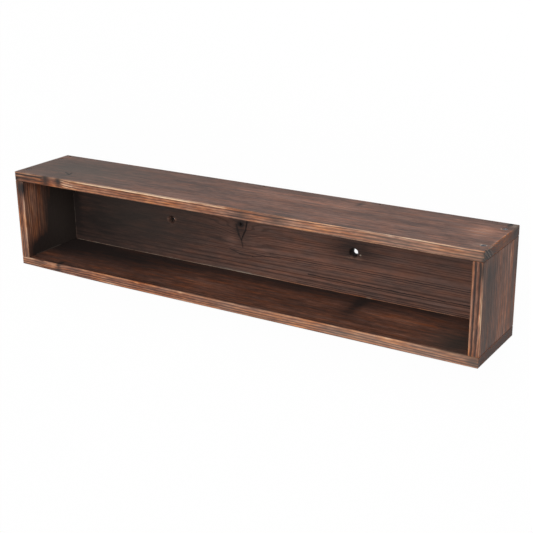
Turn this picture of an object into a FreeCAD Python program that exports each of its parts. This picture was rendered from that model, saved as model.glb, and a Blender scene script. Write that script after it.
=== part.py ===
"""Window box planter: an open-topped box of five softwood boards, screwed and nailed together.

Two long side boards run the full length and cover the ends of the two end boards. A thinner base board
is let in between the other four, flush with their lower edges, and has two drain holes near its centre
line. Each corner has two countersunk screws, driven through the side board into the end board's end
grain, and a row of finish nails along each side board's lower edge holds the base.

Frame: millimetres, +X along the length, +Z up through the open top, and the origin at the middle of the
underside.
"""
import FreeCAD, Part
import os

import Sketcher

# Driving dimensions, in millimetres and degrees
DIMENSIONS = {
    "box_length": 800.0,
    "box_width": 160.0,
    "box_height": 126.0,
    "board_thickness": 15.0,
    "base_thickness": 10.0,
    "arris_radius": 1.0,
    "base_arris_radius": 0.5,
    # The front board keeps a little wane, a sliver of missing edge, at the left end of its rim.
    "wane_length": 190.0,
    "wane_depth": 3.0,
    "wane_drop": 9.0,
    # The drain holes were drilled by eye, a little off the middle of the base.
    "drain_diameter": 12.0,
    "drain_spacing": 332.0,
    "drain_shift_along": -9.0,
    "drain_shift_across": 2.0,
    "screw_diameter": 4.0,
    "screw_length": 40.0,
    "screw_point": 5.0,
    "screw_head_diameter": 7.5,
    "screw_head_angle": 90.0,
    "screw_sink": 0.5,
    "screw_below_rim": 22.0,
    "screw_above_underside": 27.0,
    # Fasteners were driven past the middle of the end board's thickness, towards the inside.
    "fastener_inset": 2.5,
    "nail_diameter": 1.8,
    "nail_length": 35.0,
    "nail_point": 3.0,
    "nail_head_diameter": 3.0,
    "nail_head_height": 1.2,
    "nail_sink": 1.0,
    # Room between a fastener and its hole, measured on the diameter.
    "fastener_clearance": 0.1,
}
SCREWS_PER_CORNER = 2
NAILS_PER_SIDE = 5

# Formulas that several pieces share
INNER_LENGTH = "( box_length - 2 * board_thickness )"
INNER_WIDTH = "( box_width - 2 * board_thickness )"
FASTENER_FROM_END = "( board_thickness / 2 + fastener_inset )"
FASTENER_X = "( box_length / 2 - board_thickness / 2 - fastener_inset )"
NAIL_Z = "( base_thickness / 2 )"
SCREW_RISE = "( box_height - screw_below_rim - screw_above_underside )"
SCREW_HOLE = "( screw_diameter + fastener_clearance )"
NAIL_HOLE = "( nail_diameter + fastener_clearance )"
SCREW_REACH = "( screw_sink + screw_length + fastener_clearance - board_thickness )"
NAIL_REACH = "( nail_sink + nail_length + fastener_clearance - board_thickness )"
SCREW_HEAD_HEIGHT = "( ( screw_head_diameter - screw_diameter ) / 2 / tan( screw_head_angle * 0.5 deg ) )"

doc = FreeCAD.newDocument("window_box_planter")
sheet = doc.addObject("Spreadsheet::Sheet", "dimensions")
for row, (name, value) in enumerate(DIMENSIONS.items(), start=1):
    sheet.set("A%d" % row, name)
    sheet.set("B%d" % row, str(value))
    sheet.setAlias("B%d" % row, name)
doc.recompute()


def cells(formula):
    """The formula with each dimension's name turned into a reference to its cell."""
    for name in sorted(DIMENSIONS, key=len, reverse=True):
        formula = formula.replace(" %s " % name, " dimensions.%s " % name)
    return formula


def bind(thing, prop, formula):
    """Ties a property of an object to a formula of the driving dimensions."""
    thing.setExpression(prop, cells(" %s " % formula).strip())


def origin_item(body, role):
    """One of the body's own origin planes or axes, such as XY_Plane or Z_Axis."""
    return next(item for item in body.Origin.OriginFeatures if item.Role == role)


def new_body(label, position, turn):
    """A body placed by three formulas and turned about the vertical by an angle in degrees."""
    body = doc.addObject("PartDesign::Body", label)
    body.Label = label
    body.Placement.Rotation = FreeCAD.Rotation(FreeCAD.Vector(0, 0, 1), turn)
    for axis, formula in zip("xyz", position):
        bind(body, ".Placement.Base." + axis, formula)
    return body


def new_sketch(body, name, role, offset="0"):
    """A sketch on one of the body's origin planes, moved along the plane's normal by a formula."""
    sketch = body.newObject("Sketcher::SketchObject", body.Label + "_" + name)
    sketch.AttachmentSupport = [(origin_item(body, role), "")]
    sketch.MapMode = "FlatFace"
    bind(sketch, ".AttachmentOffset.Base.z", offset)
    return sketch


def drive(sketch, kind, places, guess, formula):
    """Adds a dimension to a sketch and ties it to a formula."""
    index = sketch.addConstraint(Sketcher.Constraint(kind, *places, guess))
    bind(sketch, "Constraints[%d]" % index, formula)


def outline(sketch, guesses):
    """A closed outline of straight lines through rough points, each line joined to the next."""
    points = [FreeCAD.Vector(across, up, 0) for across, up in guesses]
    following = points[1:] + points[:1]
    for start, end in zip(points, following):
        sketch.addGeometry(Part.LineSegment(start, end))
    for line in range(len(points)):
        sketch.addConstraint(Sketcher.Constraint("Coincident", line, 2, (line + 1) % len(points), 1))


def rectangle(sketch, width, height, foot):
    """A rectangle centred on the sketch's vertical axis, whose lower side is at the height of foot."""
    outline(sketch, [(-20, -10), (20, -10), (20, 30), (-20, 30)])
    for line, kind in ((1, "Vertical"), (2, "Horizontal"), (3, "Vertical")):
        sketch.addConstraint(Sketcher.Constraint(kind, line))
    sketch.addConstraint(Sketcher.Constraint("Symmetric", 0, 1, 0, 2, -2))
    drive(sketch, "DistanceX", (0, 1, 0, 2), 40, width)
    drive(sketch, "DistanceY", (1, 1, 1, 2), 40, height)
    drive(sketch, "DistanceY", (-1, 1, 0, 1), -10, foot)


def circle(sketch, across, up, diameter):
    """A circle whose centre and diameter are formulas."""
    rough = Part.Circle(FreeCAD.Vector(1, 1, 0), FreeCAD.Vector(0, 0, 1), 1)
    index = sketch.addGeometry(rough)
    drive(sketch, "DistanceX", (-1, 1, index, 3), 1, across)
    drive(sketch, "DistanceY", (-1, 1, index, 3), 1, up)
    drive(sketch, "Diameter", (index,), 2, diameter)


def sawn_board(label, position, turn, plane, size, foot, arris):
    """A board of a given width, height and thickness, padded off a plane, with all its arrises eased."""
    width, height, thickness = size
    body = new_body(label, position, turn)
    sketch = new_sketch(body, "outline", plane)
    rectangle(sketch, width, height, foot)
    blank = body.newObject("PartDesign::Pad", label + "_blank")
    blank.Profile = sketch
    bind(blank, "Length", thickness)
    doc.recompute()
    eased = body.newObject("PartDesign::Fillet", label + "_eased")
    eased.Base = (blank, [""])
    eased.UseAllEdges = True
    bind(eased, "Radius", arris)
    doc.recompute()
    return body


def drill(body, name, sketch, inwards, diameter, depth=None):
    """Drills every circle of a sketch, right through or to a flat-bottomed depth."""
    doc.recompute()
    hole = body.newObject("PartDesign::Hole", body.Label + "_" + name)
    hole.Profile = sketch
    doc.recompute()
    hole.Reversed = inwards
    hole.ThreadType = "None"
    hole.DrillPoint = "Flat"
    bind(hole, "Diameter", diameter)
    if depth:
        hole.DepthType = "Dimension"
        bind(hole, "Depth", depth)
    else:
        hole.DepthType = "ThroughAll"
    doc.recompute()
    return hole


def mirrored(body, feature, plane):
    """Repeats a feature on the far side of one of the body's origin planes."""
    copy = body.newObject("PartDesign::Mirrored", feature.Label + "_mirrored")
    copy.Originals = [feature]
    copy.MirrorPlane = (origin_item(body, plane), [""])
    body.Tip = copy
    doc.recompute()


def nail_places(first, last):
    """Distances along the box of the nails from one number in the row to another, as formulas."""
    share = 2 / (NAILS_PER_SIDE - 1)
    return ["%s * %g" % (FASTENER_X, share * nail - 1) for nail in range(first, last + 1)]


def side_board(label, facing, turn):
    """A long board with its outer face on the body's XZ plane, countersunk for screws and nail heads."""
    position = ("0", "%s * box_width / 2" % facing, "0")
    size = ("box_length", "box_height", "board_thickness")
    body = sawn_board(label, position, turn, "XZ_Plane", size, "0", "arris_radius")

    screw_sketch = new_sketch(body, "screw_holes", "XZ_Plane")
    for end in ("-1", "1"):
        for height in ("screw_above_underside", "box_height - screw_below_rim"):
            circle(screw_sketch, "%s * %s" % (FASTENER_X, end), height, SCREW_HOLE)
    screw_holes = drill(body, "screw_holes", screw_sketch, True, SCREW_HOLE)
    screw_holes.HoleCutType = "Countersink"
    screw_holes.HoleCutCustomValues = True
    sunk = "2 * screw_sink * tan( screw_head_angle * 0.5 deg )"
    bind(screw_holes, "HoleCutDiameter", "screw_head_diameter + fastener_clearance + " + sunk)
    bind(screw_holes, "HoleCutCountersinkAngle", "screw_head_angle * 1 deg")

    nail_sketch = new_sketch(body, "nail_holes", "XZ_Plane")
    for place in nail_places(0, NAILS_PER_SIDE - 1):
        circle(nail_sketch, place, NAIL_Z, NAIL_HOLE)
    nail_holes = drill(body, "nail_holes", nail_sketch, True, NAIL_HOLE)
    nail_holes.HoleCutType = "Counterbore"
    nail_holes.HoleCutCustomValues = True
    bind(nail_holes, "HoleCutDiameter", "nail_head_diameter + fastener_clearance")
    bind(nail_holes, "HoleCutDepth", "nail_sink + nail_head_height")
    doc.recompute()
    return body


def cut_wane(body):
    """Takes a sliver off the rim's outer arris: a triangle at the board's end that runs out to a point."""
    far_end = "box_length / 2"
    section = new_sketch(body, "wane_section", "YZ_Plane", far_end)
    outline(section, [(0, 30), (-3, 30), (0, 20)])
    section.addConstraint(Sketcher.Constraint("Horizontal", 0))
    section.addConstraint(Sketcher.Constraint("Vertical", 2))
    section.addConstraint(Sketcher.Constraint("PointOnObject", 0, 1, -2))
    drive(section, "DistanceY", (-1, 1, 0, 1), 30, "box_height")
    drive(section, "DistanceX", (0, 2, 0, 1), 3, "wane_depth")
    drive(section, "DistanceY", (2, 1, 2, 2), 10, "wane_drop")
    tip = new_sketch(body, "wane_tip", "YZ_Plane", "box_length / 2 - wane_length")
    index = tip.addGeometry(Part.Point(FreeCAD.Vector(0, 30, 0)))
    tip.addConstraint(Sketcher.Constraint("PointOnObject", index, 1, -2))
    drive(tip, "DistanceY", (-1, 1, index, 1), 30, "box_height")
    doc.recompute()
    wane = body.newObject("PartDesign::SubtractiveLoft", body.Label + "_wane")
    wane.Profile = section
    wane.Sections = [tip]
    doc.recompute()


def end_board(label, facing, turn):
    """A short board with its outer face on the body's YZ plane, drilled in its end grain for fasteners."""
    position = ("%s * box_length / 2" % facing, "0", "0")
    size = (INNER_WIDTH, "box_height", "board_thickness")
    body = sawn_board(label, position, turn, "YZ_Plane", size, "0", "arris_radius")
    edge = INNER_WIDTH + " / 2"
    screw_sketch = new_sketch(body, "screw_pilots", "XZ_Plane", edge)
    for height in ("screw_above_underside", "box_height - screw_below_rim"):
        circle(screw_sketch, FASTENER_FROM_END, height, SCREW_HOLE)
    screw_pilots = drill(body, "screw_pilots", screw_sketch, False, SCREW_HOLE, SCREW_REACH)
    mirrored(body, screw_pilots, "XZ_Plane")
    nail_sketch = new_sketch(body, "nail_pilots", "XZ_Plane", edge)
    circle(nail_sketch, FASTENER_FROM_END, NAIL_Z, NAIL_HOLE)
    nail_pilots = drill(body, "nail_pilots", nail_sketch, False, NAIL_HOLE, NAIL_REACH)
    mirrored(body, nail_pilots, "XZ_Plane")
    return body


def base_board():
    """The thin board let in between the other four, with its drain holes and nail pilots."""
    size = (INNER_LENGTH, INNER_WIDTH, "base_thickness")
    position = ("0", "0", "0")
    foot = "-1 * %s / 2" % INNER_WIDTH
    body = sawn_board("base_board", position, 0, "XY_Plane", size, foot, "base_arris_radius")

    drain_sketch = new_sketch(body, "drain_holes", "XY_Plane")
    for side in ("-", "+"):
        along = "drain_shift_along %s drain_spacing / 2" % side
        circle(drain_sketch, along, "drain_shift_across", "drain_diameter")
    drill(body, "drain_holes", drain_sketch, True, "drain_diameter")

    nail_sketch = new_sketch(body, "nail_pilots", "XZ_Plane", INNER_WIDTH + " / 2")
    for place in nail_places(1, NAILS_PER_SIDE - 2):
        circle(nail_sketch, place, NAIL_Z, NAIL_HOLE)
    nail_pilots = drill(body, "nail_pilots", nail_sketch, False, NAIL_HOLE, NAIL_REACH)
    mirrored(body, nail_pilots, "XZ_Plane")
    return body


def turned_fastener(body, profile):
    """A fastener revolved about the body's Y axis, its head at the origin and its point along -Y.

    The profile lists each corner's radius and depth below the top of the head, as formulas. A corner on
    the axis has no radius.
    """
    sketch = new_sketch(body, "profile", "XY_Plane")
    count = len(profile)
    outline(sketch, [(1 + corner % 2, -corner - 1) for corner in range(count)])
    for corner, (radius, depth) in enumerate(profile):
        if radius:
            drive(sketch, "DistanceX", (-1, 1, corner, 1), 1, radius)
        else:
            sketch.addConstraint(Sketcher.Constraint("PointOnObject", corner, 1, -2))
        if depth:
            drive(sketch, "DistanceY", (corner, 1, -1, 1), corner + 1, depth)
        else:
            sketch.addConstraint(Sketcher.Constraint("PointOnObject", corner, 1, -1))
    turned = body.newObject("PartDesign::Revolution", body.Label + "_turned")
    turned.Profile = sketch
    turned.ReferenceAxis = (sketch, ["V_Axis"])
    turned.Angle = 360
    doc.recompute()
    return turned


def repeat(body, feature, axis, length, count):
    """Repeats a fastener along one of the body's axes, as separate solids of one node."""
    row = body.newObject("PartDesign::LinearPattern", body.Label + "_row")
    row.Originals = [feature]
    row.Direction = (origin_item(body, axis), [""])
    bind(row, "Length", length)
    row.Occurrences = count
    body.Tip = row
    doc.recompute()


def corner_screws(label, facing, end, turn):
    """The countersunk screws of one corner, one above the other, their heads just below the surface."""
    across = "%s * ( box_width / 2 - screw_sink )" % facing
    body = new_body(label, ("%s * %s" % (end, FASTENER_X), across, "screw_above_underside"), turn)
    shank = "screw_diameter / 2"
    profile = [
        (None, None),
        ("screw_head_diameter / 2", None),
        (shank, SCREW_HEAD_HEIGHT),
        (shank, "screw_length - screw_point"),
        (None, "screw_length"),
    ]
    repeat(body, turned_fastener(body, profile), "Z_Axis", SCREW_RISE, SCREWS_PER_CORNER)
    return body


def nail_row(label, facing, turn):
    """The finish nails along one side board's lower edge, their heads punched below the surface."""
    across = "%s * ( box_width / 2 - nail_sink )" % facing
    first = "-1 * %s * %s" % (facing, FASTENER_X)
    body = new_body(label, (first, across, NAIL_Z), turn)
    head = "nail_head_diameter / 2"
    shank = "nail_diameter / 2"
    profile = [
        (None, None),
        (head, None),
        (head, "nail_head_height"),
        (shank, "nail_head_height"),
        (shank, "nail_length - nail_point"),
        (None, "nail_length"),
    ]
    repeat(body, turned_fastener(body, profile), "X_Axis", "2 * " + FASTENER_X, NAILS_PER_SIDE)
    return body


# The rear side faces +Y. The front side is the same board turned half round, with its wane cut.
front_board = side_board("front_side_board", "-1", 180)
cut_wane(front_board)
pieces = [
    front_board,
    side_board("rear_side_board", "1", 0),
    end_board("left_end_board", "-1", 0),
    end_board("right_end_board", "1", 180),
    base_board(),
]
for side, facing, turn in (("front", "-1", 180), ("rear", "1", 0)):
    for corner, end in (("left", "-1"), ("right", "1")):
        pieces.append(corner_screws("%s_%s_screws" % (side, corner), facing, end, turn))
    pieces.append(nail_row("%s_nails" % side, facing, turn))
doc.recompute()

# Every feature has to be sound before anything is written
for thing in doc.Objects:
    if {"Invalid", "Error"} & set(thing.State):
        raise RuntimeError("%s failed: %s" % (thing.Label, thing.State))
for piece in pieces:
    if piece.Shape.isNull() or not piece.Shape.isValid():
        raise RuntimeError("%s has no sound shape" % piece.Label)

os.makedirs("parts", exist_ok=True)
for piece in pieces:
    piece.Shape.exportStep("parts/%s.step" % piece.Label)
    box = piece.Shape.BoundBox
    print("%-18s %2d solids %10.0f mm3  x %.1f..%.1f  y %.1f..%.1f  z %.1f..%.1f" % (
        piece.Label, len(piece.Shape.Solids), piece.Shape.Volume,
        box.XMin, box.XMax, box.YMin, box.YMax, box.ZMin, box.ZMax))
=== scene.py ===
# %% [markdown]
# # A scorched window box planter
# The planter is a long open box of five softwood boards, torched, brushed and stained until the grain
# stands out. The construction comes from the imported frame, and this script gives it its looks: worn
# boards, driven screws, punched nails and one wood finish, tuned board by board. The frame is loaded
# first, and its box is kept, because the dressed model has to stay inside it.

# %% Load the frame
import math
from functools import partial

import bpy
import bmesh
from mathutils import Matrix, Vector


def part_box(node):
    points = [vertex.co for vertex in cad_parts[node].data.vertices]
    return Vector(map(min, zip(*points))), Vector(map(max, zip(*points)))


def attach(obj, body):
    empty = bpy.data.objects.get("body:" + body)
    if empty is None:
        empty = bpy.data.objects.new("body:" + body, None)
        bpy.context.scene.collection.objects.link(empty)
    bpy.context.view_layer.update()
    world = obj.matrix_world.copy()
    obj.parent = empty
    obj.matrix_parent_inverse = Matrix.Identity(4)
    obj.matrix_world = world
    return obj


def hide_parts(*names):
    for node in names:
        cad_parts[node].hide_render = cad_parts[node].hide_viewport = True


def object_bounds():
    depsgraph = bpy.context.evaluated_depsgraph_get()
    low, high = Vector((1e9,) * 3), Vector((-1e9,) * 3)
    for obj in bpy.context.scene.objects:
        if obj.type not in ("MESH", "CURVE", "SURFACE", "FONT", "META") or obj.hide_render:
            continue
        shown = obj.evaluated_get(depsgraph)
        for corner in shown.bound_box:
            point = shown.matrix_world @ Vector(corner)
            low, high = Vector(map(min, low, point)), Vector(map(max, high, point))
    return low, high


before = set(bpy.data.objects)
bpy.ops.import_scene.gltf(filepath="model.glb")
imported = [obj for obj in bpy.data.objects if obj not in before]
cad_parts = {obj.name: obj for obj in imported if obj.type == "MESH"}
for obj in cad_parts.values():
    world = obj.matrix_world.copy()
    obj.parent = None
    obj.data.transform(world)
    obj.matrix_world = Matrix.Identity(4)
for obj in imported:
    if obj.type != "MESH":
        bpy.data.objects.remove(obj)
cad_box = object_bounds()
MM = 0.001
print("CAD box in mm:", [round(value / MM, 1) for corner in cad_box for value in corner])

# %% [markdown]
# ## Camera
# The box lies on its long side in front of this camera, so that the open top and the right end show.
# The part itself stands upright in its frame, so the camera looks down into it and is rolled until the
# rear board is at the top of the picture. A long lens keeps the two ends nearly the same size.

# %% Set the camera
eye = Vector((0.8495, 0.5144, 1.3330))
gaze = Vector((-0.5064, -0.3365, -0.7939)).normalized()
picture_right = Vector((0.8456, -0.0136, -0.5336)).normalized()
picture_up = picture_right.cross(gaze)

camera = bpy.data.objects.new("photo_camera", bpy.data.cameras.new("photo_camera"))
bpy.context.scene.collection.objects.link(camera)
roll = Matrix((picture_right, picture_up, -gaze)).transposed()
camera.matrix_world = Matrix.Translation(eye) @ roll.to_4x4()
camera.data.sensor_width = 36.0
camera.data.lens = 72.72
bpy.context.scene.camera = camera
print("camera %.2f m from the middle of the underside" % eye.length)

# %% [markdown]
# ## Nodes
# The sky, the floor and every finish are networks of nodes, which could be wired by hand in the shader
# editor. Here one small function adds a node, fills its inputs and hands back an output, so a network
# reads from top to bottom like a recipe. Colours are written as sRGB hex, and a second function turns
# them into the linear values that nodes use.

# %% Add a node
def add_node(tree, kind, *inputs, out=0, stops=(), **settings):
    """Adds a node, such as "Math ADD", fills its inputs in order or by name, and returns an output."""
    kind, *operation = kind.split()
    node = tree.nodes.new("ShaderNode" + kind)
    if operation:
        node.operation = operation[0]
    for name, value in settings.items():
        setattr(node, name, value)
    for _ in stops[2:]:
        node.color_ramp.elements.new(1.0)
    for stop, (place, colour) in enumerate(stops):
        node.color_ramp.elements[stop].position = place
        node.color_ramp.elements[stop].color = linear(colour)
    named = inputs[0] if inputs and isinstance(inputs[0], dict) else dict(enumerate(inputs))
    for key, value in named.items():
        if isinstance(value, bpy.types.NodeSocket):
            tree.links.new(value, node.inputs[key])
        elif value is not None:
            node.inputs[key].default_value = value
    return node.outputs[out] if node.outputs else node


def linear(hex_colour):
    """A colour written as sRGB hex, as linear red, green, blue and alpha."""
    channels = [int(hex_colour[place:place + 2], 16) / 255 for place in (1, 3, 5)]
    curve = [c / 12.92 if c <= 0.04045 else ((c + 0.055) / 1.055) ** 2.4 for c in channels]
    return (*curve, 1.0)


def empty_nodes(owner):
    """Gives a world or a material an empty network, and returns a function that adds a node to it."""
    owner.use_nodes = True
    owner.node_tree.nodes.clear()
    return partial(add_node, owner.node_tree)


WHITE = linear("#ffffff")
print("white in linear values:", WHITE)

# %% [markdown]
# ## Sky and floor
# The background is plain white. More lamps could whiten it, but they would wash out the wood as well. So
# the Light Path node makes the sky and the floor white for the rays that show them to the eye, straight,
# mirrored or through glass, and the light that they give stays low. A small share of the floor stays an
# ordinary matt surface even to the eye, so that it still takes the shadow of the box.

# %% White sky
SKY_LIGHT = 0.5


def looked_at(add):
    """1 for the rays that show a thing to the eye, and 0 for those that only carry light."""
    path = add("LightPath").node.outputs
    shown = add("Math MAXIMUM", path["Is Camera Ray"], path["Is Glossy Ray"])
    return add("Math MAXIMUM", shown, path["Is Transmission Ray"])


world = bpy.data.worlds.new("studio")
bpy.context.scene.world = world
add = empty_nodes(world)
fill = add("Background", WHITE, SKY_LIGHT)
glow = add("Background", WHITE, 1.0)
add("OutputWorld", add("MixShader", looked_at(add), fill, glow))
print("sky gives a fill light of", SKY_LIGHT)

# %% White floor
FLOOR_WIDTH = 12.0
FLOOR_GLOW = 0.97

bpy.ops.object.select_all(action="DESELECT")
bpy.ops.mesh.primitive_plane_add(size=FLOOR_WIDTH, location=(0, 0, 0))
floor = bpy.context.object
floor.name = "studio_floor"
paint = bpy.data.materials.new("matt white floor paint")
add = empty_nodes(paint)
share = add("Math MULTIPLY", looked_at(add), FLOOR_GLOW)
matt = add("BsdfDiffuse", linear("#f2f2f2"))
glow = add("Emission", WHITE, 1.0)
add("OutputMaterial", add("MixShader", share, matt, glow))
floor.data.materials.append(paint)
print("floor glows to the eye by a share of", FLOOR_GLOW)

# %% [markdown]
# ## Lamps
# A soft studio has large lamps, because small ones throw hard shadows. One large square lamp stands above
# the rear board, which lights the face at the top of the picture, and a weaker one stands over the front.

# %% Soft lamps
BOX_MIDDLE = (0, 0, 0.06)
LAMP_WIDTH = 1.2


def soft_lamp(name, place, power):
    """A square area lamp that points at the middle of the box."""
    lamp = bpy.data.lights.new(name, "AREA")
    lamp.size = LAMP_WIDTH
    lamp.energy = power
    holder = bpy.data.objects.new(name, lamp)
    bpy.context.scene.collection.objects.link(holder)
    holder.location = place
    holder.rotation_euler = (Vector(BOX_MIDDLE) - Vector(place)).to_track_quat("-Z", "Y").to_euler()
    print(name, "at", power, "W")


soft_lamp("key_lamp", place=(0.5, 1.1, 1.7), power=25)
soft_lamp("front_lamp", place=(-0.5, -1.4, 1.3), power=10)
bpy.context.scene.view_settings.view_transform = "Standard"

# %% [markdown]
# ## Working by hand
# Every piece below is modelled as it would be in the viewport: a primitive is added at its size and
# place, some of its edges or faces are picked, and operators shape them. One helper selects whole
# pieces, or nothing at all before a primitive is added, and another picks the edges that pass a test.

# %% Select pieces and edges
def take(*pieces):
    """Selects some pieces and nothing else, and makes the first of them the active one."""
    bpy.ops.object.select_all(action="DESELECT")
    for piece in pieces:
        piece.select_set(True)
    if pieces:
        bpy.context.view_layer.objects.active = pieces[0]


def pick_edges(piece, wanted):
    """In edit mode, selects the edges that pass a test, and nothing else."""
    bpy.ops.mesh.select_mode(type="EDGE")
    bpy.ops.mesh.select_all(action="DESELECT")
    mesh = bmesh.from_edit_mesh(piece.data)
    for edge in mesh.edges:
        edge.select = wanted(edge)
    mesh.select_flush_mode()
    bmesh.update_edit_mesh(piece.data)


def runs_along(edge, axis):
    """Whether an edge runs along an axis, 0 for x, 1 for y and 2 for z."""
    return abs((edge.verts[1].co - edge.verts[0].co).normalized()[axis]) > 0.999


# %% [markdown]
# ## Boards
# Each board is sawn stock whose arrises, the sharp edges, were eased by the wire brush, a little
# unevenly. The CAD solids could be shown as they are, but their rounding is too even for hand work. So a
# board starts as a cube of the size of its CAD node. Its twelve arrises get a small bevel, and it is
# divided every few millimetres, so that the wear has points to move.

# %% Saw a board
ARRIS = 0.7 * MM
STEP = 6 * MM


def sawn_board(node):
    """A board the size of a CAD node, with bevelled arrises, divided along each of its directions."""
    low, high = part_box(node)
    size = high - low
    take()
    bpy.ops.mesh.primitive_cube_add(size=1.0, location=(low + high) / 2)
    board = bpy.context.object
    board.name = "worn_" + node
    bpy.ops.transform.resize(value=size)
    bpy.ops.object.transform_apply()
    bpy.ops.object.mode_set(mode="EDIT")
    bpy.ops.mesh.select_all(action="SELECT")
    bpy.ops.mesh.bevel(offset=ARRIS, segments=3, affect="EDGES")
    for axis in range(3):
        cuts = int(size[axis] / STEP) - 1
        pick_edges(board, lambda edge: runs_along(edge, axis) and edge.calc_length() > STEP)
        if cuts > 0:
            bpy.ops.mesh.subdivide(number_cuts=cuts)
    bpy.ops.object.mode_set(mode="OBJECT")
    return board


boards = {node: sawn_board(node) for node in
          ("front_side_board", "rear_side_board", "left_end_board", "right_end_board", "base_board")}
print("sawn:", list(boards))

# %% [markdown]
# The wear could be sculpted, but a Displace modifier with a cloud texture does it alike on all boards. It
# acts only on the points of the bevels, and with its middle level at 1 it takes wood off and never adds
# any, so the board stays within its node.

# %% Wear the arrises
WEAR = 0.5 * MM

worn_clouds = bpy.data.textures.new("wire_brush_wear", "CLOUDS")
worn_clouds.noise_scale = 14 * MM
worn_clouds.noise_depth = 2


def roughened(piece, clouds, strength, middle, group=""):
    """Moves the points of a piece, or of one vertex group, in and out by a cloud texture."""
    take(piece)
    rough = piece.modifiers.new("rough", "DISPLACE")
    rough.texture = clouds
    rough.texture_coords = "LOCAL"
    rough.vertex_group = group
    rough.mid_level = middle
    rough.strength = strength
    bpy.ops.object.modifier_apply(modifier="rough")


for node, board in boards.items():
    low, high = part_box(node)
    arris = board.vertex_groups.new(name="arris")
    for vertex in board.data.vertices:
        # A point of a bevel lies less than its width inside two sides of the board.
        inset = sorted(min(vertex.co[axis] - low[axis], high[axis] - vertex.co[axis]) for axis in range(3))
        arris.add([vertex.index], 1.0 if 0 < inset[1] < ARRIS * 0.99 else 0.0, "REPLACE")
    roughened(board, worn_clouds, WEAR, 1.0, "arris")
    print(board.name, len(board.data.polygons), "faces")

# %% [markdown]
# ## Turned shapes
# Screws, nails and the drills that make their holes are all round about one line. Each starts as a filled
# circle, which is extruded ring by ring and resized to the next radius, as a part is turned in a lathe. A
# cylinder would do for a plain pin, but here every ring can have its own size.

# %% Turn a shape
UP = Vector((0, 0, 1))


def lay(piece, place, outward):
    """Turns a piece that points up so that it points outward, moves it to a place, and applies both."""
    take(piece)
    piece.rotation_euler = Vector(outward).to_track_quat("Z", "Y").to_euler()
    piece.location = place
    bpy.ops.object.transform_apply()


def turned(name, profile, place=(0, 0, 0), outward=UP, sides=32):
    """Turns rings, each a radius and a depth below the top in mm, with the top facing outward."""
    radius, depth = profile[0]
    take()
    bpy.ops.mesh.primitive_circle_add(vertices=sides, radius=radius * MM, fill_type="NGON",
                                      location=(0, 0, -depth * MM))
    piece = bpy.context.object
    piece.name = name
    bpy.ops.object.transform_apply()
    bpy.ops.object.mode_set(mode="EDIT")
    bpy.ops.mesh.select_all(action="SELECT")
    for next_radius, next_depth in profile[1:]:
        sink = (0, 0, (depth - next_depth) * MM)
        bpy.ops.mesh.extrude_region_move(TRANSFORM_OT_translate={"value": sink})
        bpy.ops.transform.resize(value=(next_radius / radius, next_radius / radius, 1))
        radius, depth = next_radius, next_depth
    bpy.ops.mesh.select_all(action="SELECT")
    bpy.ops.mesh.normals_make_consistent(inside=False)
    bpy.ops.object.mode_set(mode="OBJECT")
    lay(piece, place, outward)
    return piece


# %% [markdown]
# ## Wane
# The front board was cut close to the outside of the tree, so its rim tapers off at the left end, where
# a corner of wood is missing. Points of the rim could be moved, but a cut leaves a flat face, as on the
# real board. A large block takes the corner away: its lower face lies in the slanted plane through three
# points, two on the left end and one on the arris where the wane runs out.

# %% Cut the wane
BLOCK = 0.5
WANE_WIDTH = 3 * MM
WANE_DEPTH = 9 * MM
WANE_LENGTH = 190 * MM


def cut_out(piece, cutter):
    """Takes the shape of a cutter out of a piece, and the cutter away."""
    take(piece)
    hole = piece.modifiers.new("hole", "BOOLEAN")
    hole.operation = "DIFFERENCE"
    hole.solver = "EXACT"
    hole.object = cutter
    bpy.ops.object.modifier_apply(modifier="hole")
    bpy.data.objects.remove(cutter)


low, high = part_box("front_side_board")
wane_inside = Vector((low.x, low.y + WANE_WIDTH, high.z))
wane_below = Vector((low.x, low.y, high.z - WANE_DEPTH))
wane_end = Vector((low.x + WANE_LENGTH, low.y, high.z))
wane_normal = (wane_below - wane_inside).cross(wane_end - wane_inside).normalized()
take()
bpy.ops.mesh.primitive_cube_add(size=BLOCK, location=(0, 0, BLOCK / 2))
block = bpy.context.object
bpy.ops.object.transform_apply()
lay(block, wane_inside, wane_normal)
cut_out(boards["front_side_board"], block)
print("front board has", len(boards["front_side_board"].data.polygons), "faces with its wane")

# %% [markdown]
# ## Places of the fasteners
# Two screws go through each long board into each end board, and five nails go through the lower edge of
# each long board into the base and the ends. Their places are read from the boxes of their CAD nodes, so
# the looks can't move away from the construction.

# %% Read the places
SCREW_HEAD = 7.5
NAIL_HEAD = 3.0


def fastener_places(node, head, count):
    """The middles of the heads of a row of fasteners, on the outer face of its board, and their axis."""
    low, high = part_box(node)
    rear = low.y + high.y > 0
    face = cad_box[1].y if rear else cad_box[0].y
    first = Vector((low.x + head / 2 * MM, face, low.z + head / 2 * MM))
    last = Vector((high.x - head / 2 * MM, face, high.z - head / 2 * MM))
    return [first.lerp(last, k / (count - 1)) for k in range(count)], Vector((0, 1 if rear else -1, 0))


rows = {node: fastener_places(node, SCREW_HEAD, 2) for node in
        ("front_left_screws", "front_right_screws", "rear_left_screws", "rear_right_screws")}
rows |= {node: fastener_places(node, NAIL_HEAD, 5) for node in ("front_nails", "rear_nails")}
for node, (places, outward) in rows.items():
    print(node, [[round(value / MM, 1) for value in place] for place in places])

# %% [markdown]
# ## Holes of the fasteners
# Driving a countersunk head tears the mouth of its hole, so each screw drill is a little wider than the
# head at the surface. Nail holes are narrow, because the heads were punched in. All the drills of a board
# are joined first, because one Boolean cut is cleaner than nine.

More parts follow.
